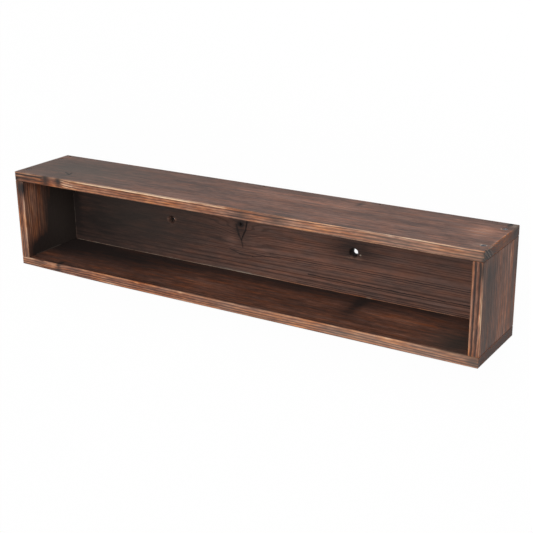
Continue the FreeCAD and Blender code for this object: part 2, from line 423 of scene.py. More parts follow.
# %% Drill the long boards
SCREW_DRILL = [(5.4, -0.6), (5.1, 0.0), (4.5, 0.8), (3.9, 1.2), (2.15, 3.0), (2.15, 15.5)]
NAIL_DRILL = [(2.6, -0.5), (2.4, 0.0), (2.0, 0.9), (1.7, 3.4), (1.0, 3.6), (1.0, 15.5)]


def joined(pieces, name):
    """Joins pieces into the first one and renames it."""
    take(*pieces)
    bpy.ops.object.join()
    pieces[0].name = name
    return pieces[0]


for side in ("front", "rear"):
    drills = []
    for node, (places, outward) in rows.items():
        if node.startswith(side):
            shape = NAIL_DRILL if node.endswith("nails") else SCREW_DRILL
            drills += [turned("drill", shape, place, outward, 24) for place in places]
    cut_out(boards[side + "_side_board"], joined(drills, "drills"))
    print(side, "board drilled", len(drills), "times")

# %% [markdown]
# ## Drain holes
# Two holes were bored through the base from inside, and the drill tore their mouths. Round cuts would
# look too clean, so the drills are roughened with a Displace modifier. They narrow towards the underside,
# because the last fibres there bend away from the drill and spring back.

# %% Shape the drain drills
LEFT_DRAIN = (-175, 2)
RIGHT_DRAIN = (157, 2)
LEFT_DRILL = [(6.6, -1.0), (6.3, 0.2), (5.4, 1.8), (4.2, 5), (2.8, 8.4), (2.5, 12)]
RIGHT_DRILL = [(7.6, -1.0), (7.2, 0.2), (6.2, 1.8), (5.2, 5), (4.0, 8.4), (3.7, 12)]
SPLINTER = 1.2 * MM
SPLINTER_MIDDLE = 0.35

splinter_clouds = bpy.data.textures.new("drill_splinters", "CLOUDS")
splinter_clouds.noise_scale = 3.5 * MM
base = boards["base_board"]


def on_base(x, y, depth=0.0):
    """A place on the inner face of the base, or at a depth below it, from part mm."""
    return Vector((x * MM, y * MM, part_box("base_board")[1].z - depth * MM))


drains = joined([turned("drill", LEFT_DRILL, on_base(*LEFT_DRAIN), sides=40),
                 turned("drill", RIGHT_DRILL, on_base(*RIGHT_DRAIN), sides=40)], "drain_drills")
roughened(drains, splinter_clouds, SPLINTER, SPLINTER_MIDDLE)
print("drain drills have", len(drains.data.polygons), "faces")

# %% [markdown]
# The left hole is choked with torn fibres. They are thin cones that point inwards and dip a little, set
# out by the golden angle so that no two lie alike. They are cut out of the drill, so the drill leaves
# them standing in the hole, in one piece with the board.

# %% Bore the drain holes
SLIVERS = 11
GOLDEN_ANGLE = math.radians(137.5)
SLIVER_ROOT = 0.9 * MM
SLIVER_TIP = 0.1 * MM
SLIVER_DEPTH = 0.9
SLIVER_DIP = Vector((0, 0, 1.5 * MM))
HOLE_WALL = 5.9 * MM

for number in range(SLIVERS):
    bearing = GOLDEN_ANGLE * number
    length = (2.6 + 1.4 * math.sin(3 * number)) * MM
    wall = Vector((math.cos(bearing), math.sin(bearing), 0)) * (HOLE_WALL - length / 2)
    take()
    bpy.ops.mesh.primitive_cone_add(vertices=5, radius1=SLIVER_ROOT, radius2=SLIVER_TIP, depth=length,
                                    location=on_base(*LEFT_DRAIN, SLIVER_DEPTH) + wall)
    sliver = bpy.context.object
    sliver.rotation_euler = (-wall - SLIVER_DIP).to_track_quat("Z", "Y").to_euler()
    bpy.ops.object.transform_apply()
    cut_out(drains, sliver)
cut_out(base, drains)
print("base bored twice,", SLIVERS, "torn fibres in the left hole")

# %% [markdown]
# ## Chip, cracks and knot
# A chip broke out beside the right hole, and a black knot near the middle of the base fell in and split
# the wood into a forked crack. The rear board has a small split of its own, near the left end of its
# outer face. Dark paint alone would look flat from the side, so all are cut: the chip and the knot with
# shallow turned dishes, and each stretch of a crack with a thin blade. That is the last of the shaping,
# so the rounded arrises of all five boards are then shaded smooth.

# %% Break the wood
CHIP = [(3.8, -0.5), (3.5, 0.1), (3.0, 0.7), (1.4, 1.3)]
CHIP_PLACE = (153.5, -4.6)
KNOT = [(2.8, -0.5), (2.5, 0.1), (2.2, 0.8), (1.6, 1.6), (1.2, 3.4)]
KNOT_PLACE = (-41, 15)
CRACK_DEPTH = 2.0
BOARD_SMOOTH = math.radians(40)
BASE_CRACK = [((-29, 22, 10), (-31.5, 7, 10), 0.8), ((-31.6, 7.6, 10), (-40, -10, 10), 0.7),
              ((-39.9, -9.6, 10), (-38, -21, 10), 0.5)]
REAR_CRACK = [((-323, 80, 90), (-308, 80, 98.5), 0.8), ((-308.2, 80, 99), (-311, 80, 88), 0.9)]


def crack(board, start, end, width, outward):
    """Cuts a straight crack into a face, between two places on it in mm."""
    run = Vector(end) - Vector(start)
    aside = outward.cross(run).normalized()
    take()
    bpy.ops.mesh.primitive_cube_add(size=1.0)
    blade = bpy.context.object
    bpy.ops.transform.resize(value=(run.length * MM, width * MM, 2 * CRACK_DEPTH * MM))
    blade.rotation_euler = Matrix((run.normalized(), aside, outward)).transposed().to_euler()
    blade.location = (Vector(start) + Vector(end)) / 2 * MM
    bpy.ops.object.transform_apply()
    cut_out(board, blade)


chip = turned("chip", CHIP, on_base(*CHIP_PLACE), sides=24)
roughened(chip, splinter_clouds, SPLINTER, SPLINTER_MIDDLE)
cut_out(base, chip)
for start, end, width in BASE_CRACK:
    crack(base, start, end, width, UP)
for start, end, width in REAR_CRACK:
    crack(boards["rear_side_board"], start, end, width, Vector((0, 1, 0)))
cut_out(base, turned("knot", KNOT, on_base(*KNOT_PLACE), sides=9))
for board in boards.values():
    take(board)
    bpy.ops.object.shade_smooth_by_angle(angle=BOARD_SMOOTH)
print("base has", len(base.data.polygons), "faces")

# %% [markdown]
# ## Screws
# They are flat-headed wood screws with a cross recess and a coarse thread. One is modelled at the origin
# and copied to all eight places. The head and the shank are turned, and the recess is cut with two
# blades that taper downwards and a small pit between them.

# %% Turn the screw and cut its recess
SCREW = [(3.55, 0.0), (3.75, 0.15), (3.75, 0.35), (1.45, 2.6), (1.4, 34), (0.15, 39.4)]
PIT = [(1.8, -0.2), (1.6, 0.1), (0.5, 1.7)]
BLADE = (1.3 * MM, 4.8 * MM, 2.2 * MM)
BLADE_DEPTH = 0.7 * MM
BLADE_FOOT = -1 * MM
BLADE_TAPER = (0.5, 0.5, 1)

screw = turned("screw", SCREW)
for quarter in (0, math.pi / 2):
    take()
    bpy.ops.mesh.primitive_cube_add(size=1.0, location=(0, 0, -BLADE_DEPTH), rotation=(0, 0, quarter))
    blade = bpy.context.object
    bpy.ops.transform.resize(value=BLADE, orient_type="LOCAL")
    bpy.ops.object.transform_apply()
    bpy.ops.object.mode_set(mode="EDIT")
    pick_edges(blade, lambda edge: max(vertex.co.z for vertex in edge.verts) < BLADE_FOOT)
    bpy.ops.transform.resize(value=BLADE_TAPER)
    bpy.ops.object.mode_set(mode="OBJECT")
    cut_out(screw, blade)
cut_out(screw, turned("pit", PIT, sides=16))
print("screw has", len(screw.data.polygons), "faces without its thread")

# %% [markdown]
# The thread could be modelled turn by turn. The Screw modifier does it in one go: it winds a small
# triangle round the shank and up it, by one pitch for each turn. The two open ends are then filled.

# %% Wind the thread
THREAD_HEIGHT = 0.75 * MM
THREAD_START = (1.35 * MM, 0, -37 * MM)
PITCH = 1.8 * MM
TURNS = 13
TURN_STEPS = 20

take()
bpy.ops.mesh.primitive_circle_add(vertices=3, radius=THREAD_HEIGHT, location=THREAD_START,
                                  rotation=(math.pi / 2, math.pi / 2, 0))
thread = bpy.context.object
bpy.ops.object.transform_apply()
winding = thread.modifiers.new("thread", "SCREW")
winding.axis = "Z"
winding.screw_offset = PITCH
winding.iterations = TURNS
winding.steps = TURN_STEPS
winding.render_steps = TURN_STEPS
bpy.ops.object.modifier_apply(modifier="thread")
bpy.ops.object.mode_set(mode="EDIT")
bpy.ops.mesh.select_all(action="SELECT")
bpy.ops.mesh.fill_holes(sides=3)
bpy.ops.mesh.normals_make_consistent(inside=False)
bpy.ops.object.mode_set(mode="OBJECT")
screw = joined([screw, thread], "screw")
print("screw has", len(screw.data.polygons), "faces")

# %% [markdown]
# ## Nails
# The nails are slim, with a small domed head that was punched below the surface. One is turned, as the
# screw was, and copied.

# %% Turn the nail
NAIL = [(0.6, 0.0), (1.25, 0.12), (1.5, 0.4), (1.5, 0.9), (0.9, 1.2), (0.9, 31), (0.12, 33.8)]

nail = turned("nail", NAIL, sides=20)
print("nail has", len(nail.data.polygons), "faces")

# %% [markdown]
# ## Driving
# Every fastener is a copy with a mesh of its own, laid in its hole. A hand never stops a screwdriver
# twice at the same angle, so each copy is turned a little further than the last. The screws of the left
# end went in deeper than those of the right. A row of fasteners is one CAD node, so it is joined into one
# piece that replaces that node.

# %% Drive the screws and the nails
SCREW_SINK = {"left": 0.9, "right": 0.2}
SCREW_TURN = 0.45
NAIL_SINK = 2.2
NAIL_TURN = 0.7
STEEL_SMOOTH = math.radians(35)


def driven(fastener, node, sink, turn_step):
    """Copies a fastener to the places of a CAD node, sunk by some mm below the face."""
    places, outward = rows[node]
    copies = []
    for number, place in enumerate(places):
        copy = bpy.data.objects.new(node, fastener.data.copy())
        bpy.context.scene.collection.objects.link(copy)
        take(copy)
        copy.rotation_euler = (0, 0, turn_step * (number + 1))
        bpy.ops.object.transform_apply()
        lay(copy, place - outward * sink * MM, outward)
        copies.append(copy)
    row = joined(copies, "driven_" + node)
    bpy.ops.object.shade_smooth_by_angle(angle=STEEL_SMOOTH)
    return row


fasteners = {}
for node in rows:
    if node.endswith("nails"):
        row = driven(nail, node, NAIL_SINK, NAIL_TURN)
    else:
        end = node.split("_")[1]
        row = driven(screw, node, SCREW_SINK[end], SCREW_TURN)
    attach(row, "root")
    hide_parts(node)
    fasteners[node] = row
bpy.data.objects.remove(screw)
bpy.data.objects.remove(nail)
print(len(fasteners), "rows of fasteners driven")

# %% [markdown]
# ## Scorched softwood
# The boards are fir, burnt with a torch, wire-brushed and stained. Burning chars the soft early wood of
# each yearly ring, the brush takes most of it off again, and the hard late wood stays as dark ridges.
# The eye gets brown faces with dark lines, tan edges where the brush went down to bare wood, and charred
# corners. The finish is built up in stages, in millimetres, with one function for each stage.
#
# The first stage is for marks: places where the torch or the brush stayed longer, where the tree grew
# a knot, or where shade, a highlight or a sheen is painted. A painted picture could hold them, but a sum
# of soft spots and lines stays sharp at any size.

# %% Marks on a board
def marks(add, site, shapes):
    """Sums soft marks in mm: spots (centre, reach, strength) and lines (start, end, width, strength)."""
    total = 0.0
    for first, second, *width, strength in shapes:
        offset = add("VectorMath SUBTRACT", site, first)
        reach = second
        if width:
            run = Vector(second) - Vector(first)
            share = add("VectorMath DOT_PRODUCT", offset, run / run.length_squared, out="Value")
            share = add("Math ADD", share, 0.0, use_clamp=True)
            foot = add("VectorMath SCALE", {0: run, "Scale": share})
            offset = add("VectorMath SUBTRACT", offset, foot)
            reach = width * 3
        offset = add("VectorMath DIVIDE", offset, reach)
        square = add("VectorMath DOT_PRODUCT", offset, offset, out="Value")
        fade = add("Math MULTIPLY", square, -1.0)
        fade = add("Math EXPONENT", fade)
        total = add("Math MULTIPLY_ADD", fade, strength, total)
    return total


# %% [markdown]
# Each point of a board has a place along the grain, across the board and through its thickness, and a
# depth inside the sawn ends, the narrow edges and the wide faces. With these, one finish serves boards
# that lie in different directions, and it can tell an edge from a face. Two more places stray from the
# true one, because neither the grain nor a flame follows a straight line. The marks of painted shade,
# highlight and sheen stray as those of the flame do.

# %% Set out a board
STRAY_PATCH = 14
GRAIN_STRAY = 7
MARK_STRAY = 2.4


def set_out(add, node, along, across):
    """A point in part mm and in the board's directions, the board's middle, and the point's depths."""
    low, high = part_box(node)
    turn = Matrix((along, across, Vector(along).cross(Vector(across))))
    middle = turn @ (low + high) / 2 / MM
    half = Vector(abs(value) for value in turn @ (high - low) / 2 / MM)
    place = add("TexCoord", out="Object")
    site = add("VectorMath SCALE", {0: place, "Scale": 1 / MM})
    stock = add("Mapping", site, (0, 0, 0), turn.to_euler(), (1, 1, 1))
    inside = add("VectorMath SUBTRACT", stock, middle)
    inside = add("VectorMath ABSOLUTE", inside)
    inside = add("VectorMath SUBTRACT", half, inside)
    return site, stock, middle, add("SeparateXYZ", inside).node.outputs


def strayed(add, site):
    """A point as the grain strays from it, and as the marks do, painted light among them, which keep
    closer.
    """
    stray = add("TexNoise", {"Vector": site, "Scale": 1 / STRAY_PATCH, "Detail": 3.0}, out="Color")
    stray = add("VectorMath SUBTRACT", stray, (0.5, 0.5, 0.5))
    return [add("VectorMath MULTIPLY_ADD", stray, (reach, reach, reach), site)
            for reach in (GRAIN_STRAY, MARK_STRAY)]


# %% [markdown]
# Yearly rings are circles round the pith, the middle of the tree. A wave texture would stripe the faces,
# but its stripes don't turn the corner to a sawn end. So the distance of each point from a pith that lies
# off the board is counted in years. The last part of a year is its late wood, a line of a millimetre or
# two, and it is harder in some years than in others. The stem wanders, so the rings bend with it, and
# knots push them aside.

# %% Yearly rings
STEM_WAVE = (400, 120, 120)
STEM_DRIFT = (0, 7, 4)
LATE_START = 1.75
LATE_FULL = 1.0


def yearly_rings(add, stock, pith, ring, uneven, knots):
    """A point as the stem bent it, and its late wood from 0 to 1, for years of a width in mm."""
    slow = add("VectorMath MULTIPLY", stock, [1 / length for length in STEM_WAVE])
    drift = add("TexNoise", {"Vector": slow, "Scale": 1.0, "Detail": 1.0}, out="Color")
    bent = add("VectorMath MULTIPLY_ADD", drift, STEM_DRIFT, stock)
    out = add("VectorMath SUBTRACT", bent, pith)
    out = add("VectorMath MULTIPLY", out, (0, 1, 1))
    radius = add("VectorMath LENGTH", out, out="Value")
    years = add("Math ADD", radius, knots)
    lean = add("TexNoise", {"W": radius, "Scale": 0.3 / ring, "Detail": 1.0}, noise_dimensions="1D")
    years = add("Math MULTIPLY_ADD", lean, uneven * ring, years)
    years = add("Math DIVIDE", years, ring)
    season = add("Math FRACT", years)
    year = add("Math FLOOR", years)
    hard = add("TexWhiteNoise", {"W": year}, noise_dimensions="1D")
    hard = add("MapRange", hard, 0.0, 1.0, 0.5, 1.0)
    rise = add("MapRange", season, 1 - LATE_START / ring, 1 - LATE_FULL / ring,
               interpolation_type="SMOOTHSTEP")
    fall = add("MapRange", season, 0.92, 1.0, 1.0, 0.0)
    late = add("Math MULTIPLY", rise, fall)
    return bent, add("Math MULTIPLY", late, hard)


# %% [markdown]
# How far the wood is brushed bare is one number for each point, from 0 for charred to 1 for bare. It is
# low on the faces and the sawn ends, higher on the narrow edges and highest on the arrises, where the
# brush bites most. Marks raise or lower it, and some of them are a painted highlight and painted shade.
# Noise stretched along the grain makes it uneven.

# %% Brush the wood bare
# Each pattern has a length and a width in mm: single threads, fibres, the nap that the brush raises, its
# streaks, broad tones of the torch and its film of soot. Threads are coarser than life, so that they show.
PATTERNS = {
    "thread": (22, 0.45),
    "fibre": (38, 2.4),
    "nap": (12, 3.6),
    "streak": (110, 5),
    "tone": (130, 26),
    "film": (45, 7),
}
SWAY = {"tone": 0.1, "streak": 0.1, "nap": 0.1, "fibre": 0.13, "thread": 0.2}
ARRIS_BARE = 0.16


def grain(add, bent):
    """The patterns of the grain, each a noise from 0 to 1."""
    noise = {}
    for name, (length, width) in PATTERNS.items():
        stretch = (1 / length, 1 / width, 1 / width)
        stretched = add("VectorMath MULTIPLY", bent, stretch)
        noise[name] = add("TexNoise", {"Vector": stretched, "Scale": 1.0, "Detail": 2.5})
    return noise


def brushed_bare(add, inside, sawn, bare, mottle, noise, pale):
    """How far a point is brushed, from values for faces, edges and ends, and pale marks, some painted
    light.
    """
    from_end, from_edge, from_face = inside
    bare_face, bare_edge, bare_end = bare
    worn = add("MapRange", from_edge, 0.3, 1.6, bare_edge, bare_face)
    worn = add("Mix", sawn, None, worn, bare_end)
    # The second smallest of the three depths is the distance from the nearest arris.
    lesser = add("Math MINIMUM", from_edge, from_face)
    larger = add("Math MAXIMUM", from_edge, from_face)
    larger = add("Math MINIMUM", larger, from_end)
    from_arris = add("Math MAXIMUM", lesser, larger)
    arris = add("MapRange", from_arris, 0.4, 2.4, ARRIS_BARE, 0.0, interpolation_type="SMOOTHSTEP")
    worn = add("Math ADD", worn, arris)
    worn = add("Math ADD", worn, pale)
    lively = add("MapRange", from_edge, 0.3, 2.6, 1.0, mottle)
    for name, sway in SWAY.items():
        swing = add("MapRange", noise[name], 0.25, 0.75, -sway, sway)
        worn = add("Math MULTIPLY_ADD", swing, lively, worn)
    return worn


# %% [markdown]
# That number picks the colour, from one ramp for early wood and a darker one for late wood. Sawn ends
# drink more stain, so they are more vivid. A thin film of soot, the burnt marks and the marks of painted
# shade lead to the colour of char, and dust, glue, torn fibres and a painted grey sheen lie over
# everything in a pale grey.

# %% Stain and char the wood, and paint shade and sheen
EARLY = [(0.0, "#35231c"), (0.22, "#5f3c2e"), (0.45, "#955b3f"), (0.7, "#c98a60"), (1.0, "#f6d3ae")]
LATE = [(0.0, "#181110"), (0.5, "#2f1c16"), (1.0, "#7c5039")]
# The colour of char, which also paints shade, and the pale grey of dust, which also paints a sheen.
CHAR_AND_SHADE = linear("#2a2220")
DUST_AND_SHEEN = linear("#b5a898")
EDGE_TINT = 0.93
END_TINT = 1.2


def stained(add, from_edge, sawn, worn, late, film, tint, soot, char_and_shade, dust_and_sheen):
    """The colour of a point from its bareness, late wood and soot, char and painted shade, dust and
    painted sheen.
    """
    early_wood = add("ValToRGB", worn, stops=EARLY)
    late_wood = add("ValToRGB", worn, stops=LATE)
    colour = add("Mix", {0: late, 6: early_wood, 7: late_wood}, out=2, data_type="RGBA")
    vivid = add("MapRange", from_edge, 0.3, 2.6, EDGE_TINT, tint)
    vivid = add("Mix", sawn, None, vivid, END_TINT)
    swing = add("MapRange", film, 0.3, 0.7, 1.14, 0.86)
    vivid = add("Math MULTIPLY", vivid, swing)
    colour = add("HueSaturation", {"Saturation": vivid, "Color": colour})
    smoke = add("MapRange", film, 0.35, 0.65, 0.0, 2 * soot)
    char_soot_and_shade = add("Math ADD", char_and_shade, smoke, use_clamp=True)
    colour = add("Mix", {0: char_soot_and_shade, 6: colour, 7: CHAR_AND_SHADE}, out=2, data_type="RGBA")
    dust_and_sheen_share = add("Math ADD", dust_and_sheen, 0.0, use_clamp=True)
    return add("Mix", {0: dust_and_sheen_share, 6: colour, 7: DUST_AND_SHEEN}, out=2, data_type="RGBA")


# %% [markdown]
# The last stage puts the finish together. Late wood stands a little proud and is smoother, so it also
# sets the bump and the roughness. Every board has its own values. `pith` is the place of the pith from
# the board's middle, across it and through it, `ring` the width of a year, and `uneven` how much the
# widths differ. `bare` is how far the faces, the edges and the sawn ends are brushed. `figure`, `mottle`
# and `tint` are how much of the rings, of the uneven brushing and of the stain's colour the faces keep,
# and `soot` is the strength of the film. Of the marks, `knots` bend the rings by some mm and `calm`
# blots them out. The others brighten or darken the bare wood, with a painted highlight and painted shade
# among them, char it and paint shade on it, or lay dust and a painted grey sheen over it.

# %% Scorched softwood
RIDGE = 0.25 * MM
SATIN = {"IOR": 1.5, "Specular IOR Level": 0.2}
X, Y, Z = (1, 0, 0), (0, 1, 0), (0, 0, 1)


def scorched_softwood(node, along, across, pith, ring, uneven, bare, figure, mottle, tint, soot,
                      knots=(), calm=(), pale=(), char_and_shade=(), dust_and_sheen=()):
    """Gives one board its finish, with the grain along one axis and its width across another."""
    wood = bpy.data.materials.new("torched and brushed fir, " + node)
    add = empty_nodes(wood)
    site, stock, middle, inside = set_out(add, node, along, across)
    grain_site, mark_site = strayed(add, site)
    from_end, from_edge, _ = inside
    sawn = add("MapRange", from_end, 0.2, 0.8, 1.0, 0.0)

    bent, late = yearly_rings(add, stock, middle + Vector((0, *pith)), ring, uneven,
                              marks(add, grain_site, knots))
    shown = add("MapRange", from_edge, 1.0, 16.0, 1.0, figure)
    shown = add("Math MAXIMUM", shown, sawn)
    late = add("Math MULTIPLY", late, shown)
    quiet = add("Math SUBTRACT", 1.0, marks(add, grain_site, calm), use_clamp=True)
    late = add("Math MULTIPLY", late, quiet)

    noise = grain(add, bent)
    worn = brushed_bare(add, inside, sawn, bare, mottle, noise, marks(add, mark_site, pale))
    colour = stained(add, from_edge, sawn, worn, late, noise["film"], tint, soot,
                     marks(add, mark_site, char_and_shade), marks(add, mark_site, dust_and_sheen))
    rough = add("MapRange", late, 0.0, 1.0, 0.62, 0.5)
    height = add("Math MULTIPLY_ADD", noise["fibre"], 0.5, late)
    height = add("Math MULTIPLY_ADD", noise["thread"], 0.5, height)
    relief = add("Bump", {"Strength": 0.6, "Distance": RIDGE, "Height": height})
    shader = add("BsdfPrincipled", {"Base Color": colour, "Roughness": rough, "Normal": relief} | SATIN)
    add("OutputMaterial", shader)
    boards[node].data.materials.clear()
    boards[node].data.materials.append(wood)
    print(wood.name, len(wood.node_tree.nodes), "nodes")


# %% [markdown]
# ## Finish of each board
# The rear board lies in full light. Its outer face is charred at the left end, round a small knot that
# split, with a painted grey sheen over it there, and is browner to the right. Its rim has a reddish knot
# near the left end, and the outer arris is brushed bare, with a painted highlight that makes it nearly
# white along the left half. The sawn end at the right shows the rings as arcs.

# %% Rear board
scorched_softwood(
    "rear_side_board", along=X, across=Z, pith=(8, -75), ring=2.9, uneven=1.0,
    bare=(0.28, 0.51, 0.28), figure=0.2, mottle=0.7, tint=0.8, soot=0.1,
    knots=[((-320, 74, 126), (20, 12, 14), 4), ((-318, 80, 106), (18, 8, 14), -7),
           ((235, 78, 126), (80, 8, 10), 2)],
    calm=[((-320, 72, 126), (16, 10, 5), 1.3)],
    pale=[
        # Outer arris of the rim, brushed bare, with a painted highlight along the left half.
        ((-180, 80, 126), (110, 2.1, 3.6), 0.61), ((-60, 80, 126), (110, 1.7, 1.6), 0.3),
        ((285, 80, 126), (75, 1.7, 1.6), 0.35), ((-375, 80, 126), (25, 1.8, 2), 0.25),
        ((-360, 80, 122), (40, 3, 5), 0.15), ((3, 78, 126), (8, 2, 3), 0.25),
        # Rim, with its knot and the scratches beside it.
        ((-320, 73, 126), (17, 9, 4), -0.25), ((-325, 76, 126), (-315, 67, 126), 2.4, 0.07),
        ((-290, 73, 126), (14, 5, 3), 0.12), ((-372, 72, 126), (36, 9, 4), -0.2),
        ((-302, 77, 126), (-284, 75.6, 126), 0.7, 0.3), ((-302, 72, 126), (-278, 70.2, 126), 0.7, 0.3),
        ((-298, 68.6, 126), (-270, 67.6, 126), 0.6, 0.25), ((-398, 74, 126), (-345, 73.6, 126), 0.8, 0.3),
        ((73, 71, 126), (8, 7, 4), 0.1), ((290, 73, 126), (110, 12, 5), -0.05),
        # Outer face.
        ((-330, 80, 75), (90, 5, 60), -0.06), ((-304, 80, 103), (2, 3, 7), 0.1),
        ((105, 80, 42), (110, 4, 12), 0.12), ((280, 80, 81), (110, 4, 8), 0.12),
        ((366, 80, 50), (22, 4, 26), 0.22),
        # Sawn end and its arris.
        ((400, 80, 88), (3, 3, 10), 0.2), ((400, 80, 55), (3, 3, 8), 0.1),
        ((400, 70, 112), (4, 11, 24), -0.24),
    ],
    char_and_shade=[
        # Outer face.
        ((-330, 80, 75), (90, 5, 60), 0.57), ((-110, 80, 60), (110, 5, 60), 0.16),
        ((-220, 80, 40), (90, 5, 40), 0.35), ((-315, 80, 108), (24, 4, 13), 0.22),
        ((220, 80, 63), (110, 4, 12), 0.4), ((171, 80, 19), (5, 3, 9), 0.7),
        # Split knot on the outer face.
        ((-309, 80, 97.5), (2.2, 3, 2.6), 2.5), ((-323, 80, 90), (-308, 80, 98.5), 0.9, 2.2),
        ((-308, 80, 98.5), (-311, 80, 88), 0.9, 2.0),
        # Rim round its knot and left of it.
        ((-334, 72, 126), (8, 10, 5), 0.8), ((-307, 73, 126), (6.5, 10, 5), 0.75),
        ((-398, 76.6, 126), (-342, 76.2, 126), 0.8, 0.9), ((-398, 71, 126), (-342, 70.5, 126), 0.8, 0.8),
        ((-374, 70, 126), (30, 5, 5), 0.35), ((-398, 68, 126), (6, 5, 6), 0.6),
        # Scorched patches along the rim.
        ((-146, 73, 126), (9, 6, 4), 0.3), ((38, 72, 126), (16, 8, 5), 0.45),
        ((98, 73, 126), (16, 8, 5), 0.45), ((385, 70, 126), (24, 5, 6), 0.4),
        # Painted shade in the nail hole, and a darker spot below the lower screw at the right.
        ((389.8, 80, 7.5), (1.9, 3, 5), 5), ((391.5, 80, 21), (5, 2, 4), 0.4),
        # Sawn end: rings, and char at its top and foot.
        ((400, 76, 126), (400, 66, 113), 1.2, 1.6), ((400, 79, 121), (400, 67, 106), 1.2, 2.2),
        ((400, 79, 114), (400, 74, 108), 1.1, 1.6), ((400, 75, 109), (400, 67, 99), 1.2, 1.4),
        ((400, 68, 124), (3, 3.5, 5), 0.6), ((400, 71, 110), (3, 10, 20), 0.22),
        ((400, 74, 12), (6, 14, 16), 0.9),
    ],
    dust_and_sheen=[
        # Pale grey rings round the two screws at the right, and a pale speck by the lower one.
        ((390, 79, 104), (10.5, 0.6, 11), 1.4), ((390, 79, 27), (9, 0.5, 9), 0.5),
        ((385.8, 80, 29), (0.8, 1.5, 1.3), 2.4),
        # Grey film on the rim and at the lower corner, and a painted grey sheen on the outer face at the
        # left.
        ((300, 72, 126), (200, 10, 4), 0.12), ((-310, 80, 70), (120, 4, 70), 0.08),
        ((397, 80, 9), (4, 2, 7), 0.25),
        # Saw marks on the sawn end.
        ((400, 79, 124.5), (400, 66, 109.5), 0.7, 0.15), ((400, 79, 117.5), (400, 66, 102), 0.7, 0.2),
        ((400, 77, 107), (400, 67, 94.5), 0.7, 0.1), ((400, 72, 60), (4, 14, 40), 0.05),
    ])

# %% [markdown]
# The front board's inner face is seen from above. Painted shade darkens it towards the base, to black at
# the left; it is red-brown in the middle, and charred at the right near the rim. Its own rim has an
# orange knot near the left end.

# %% Front board
scorched_softwood(
    "front_side_board", along=X, across=Z, pith=(8, 75), ring=2.9, uneven=1.0,
    bare=(0.23, 0.49, 0.17), figure=0.25, mottle=0.8, tint=0.92, soot=0.12,
    knots=[((-336, -68, 126), (18, 10, 14), 4), ((176, -65, 30), (16, 8, 26), -10)],
    calm=[((-337, -69, 126), (12, 6, 5), 1.0)],
    pale=[
        # Inner face.
        ((-55, -65, 78), (50, 4, 34), 0.06), ((90, -65, 66), (80, 4, 24), 0.03),
        ((255, -65, 66), (50, 4, 30), 0.1), ((-345, -65, 100), (45, 4, 16), 0.12),
        # Rim, with its knot, and the inner arris.
        ((-337, -69, 126), (12, 5, 4), 0.08), ((280, -72, 126), (170, 10, 4), 0.04),
        ((-384, -66, 126), (12, 2, 4), 0.1), ((-190, -72, 126), (120, 9, 4), -0.1),
        ((310, -65.5, 126), (80, 1.6, 1.6), 0.2), ((-160, -67, 126), (5, 1.5, 3), 0.3),
        ((-76, -67, 126), (5, 1.5, 3), 0.3),
    ],
    char_and_shade=[
        # Inner face, from left to right: painted shade towards the base, darkest at the left, and charred
        # patches.
        ((-370, -65, 25), (60, 5, 60), 0.9), ((-240, -65, 45), (120, 5, 36), 0.85),
        ((-285, -65, 98), (75, 4, 24), 0.13), ((-345, -65, 107), (-225, -65, 107), 1.2, 0.25),
        ((-345, -65, 95.5), (-225, -65, 96), 1.2, 0.25), ((40, -65, 14), (260, 5, 24), 0.75),
        ((180, -65, 50), (12, 5, 45), 0.7), ((300, -65, 10), (100, 5, 18), 0.5),
        ((358, -65, 92), (24, 5, 38), 0.85),
        # Round the knot in the rim.
        ((-321, -70, 126), (5, 7, 5), 0.65), ((-350, -65, 122.6), (-325, -65, 121.6), 1.0, 1.1),
        ((-321, -65, 119.5), (4, 3, 4.5), 1.5), ((-337, -75.5, 126), (22, 2, 5), 0.6),
        ((-364, -70, 126), (16, 5, 5), 0.45),
        # Rest of the rim, and the sawn end.
        ((65, -78, 126), (34, 1.6, 4), 0.5), ((212, -71, 126), (26, 7, 5), 0.25),
        ((25, -72, 126), (140, 10, 5), 0.11), ((392, -73, 126), (10, 9, 6), 0.6),
        ((400, -72, 60), (5, 14, 70), 0.45),
    ],
    dust_and_sheen=[((290, -72, 126), (170, 10, 4), 0.15), ((350, -65, 90), (40, 4, 40), 0.05),
           ((20, -72, 126), (120, 10, 4), 0.04)])

# %% [markdown]
# The left end is black inside, except for a red-brown strip near its rim, which widens towards the rear.

# %% Left end
scorched_softwood(
    "left_end_board", along=Y, across=Z, pith=(-60, -120), ring=2.8, uneven=1.2,
    bare=(0.38, 0.44, 0.1), figure=0.6, mottle=0.8, tint=0.93, soot=0.1,
    pale=[((-387, -12, 126), (1.5, 60, 4), 0.25), ((-385, 20, 112), (4, 60, 18), 0.15),
          ((-397, -20, 126), (2, 50, 5), 0.1)],
    char_and_shade=[
        # Inner face, black towards the base, and dark high up by the front board.
        ((-385, -15, 20), (6, 95, 52), 2.4), ((-385, -58, 95), (6, 22, 30), 1.3),
        # Rim.
        ((-394, 54, 126), (12, 16, 8), 0.7), ((-386, 53, 126), (4, 15, 5), 0.5),
        ((-392.5, 64, 126), (-392, -64, 126), 1.5, 0.4),
    ],
    dust_and_sheen=[((-385, -64.3, 108), (-385, -64.3, 50), 0.8, 0.2), ((-385, 0, 40), (4, 80, 50), 0.05)])

# %% [markdown]
# The right end shows its rim and its outer face. Two yearly rings fill the rim: tan, dark grey, orange and
# tan again, in bands along the board.

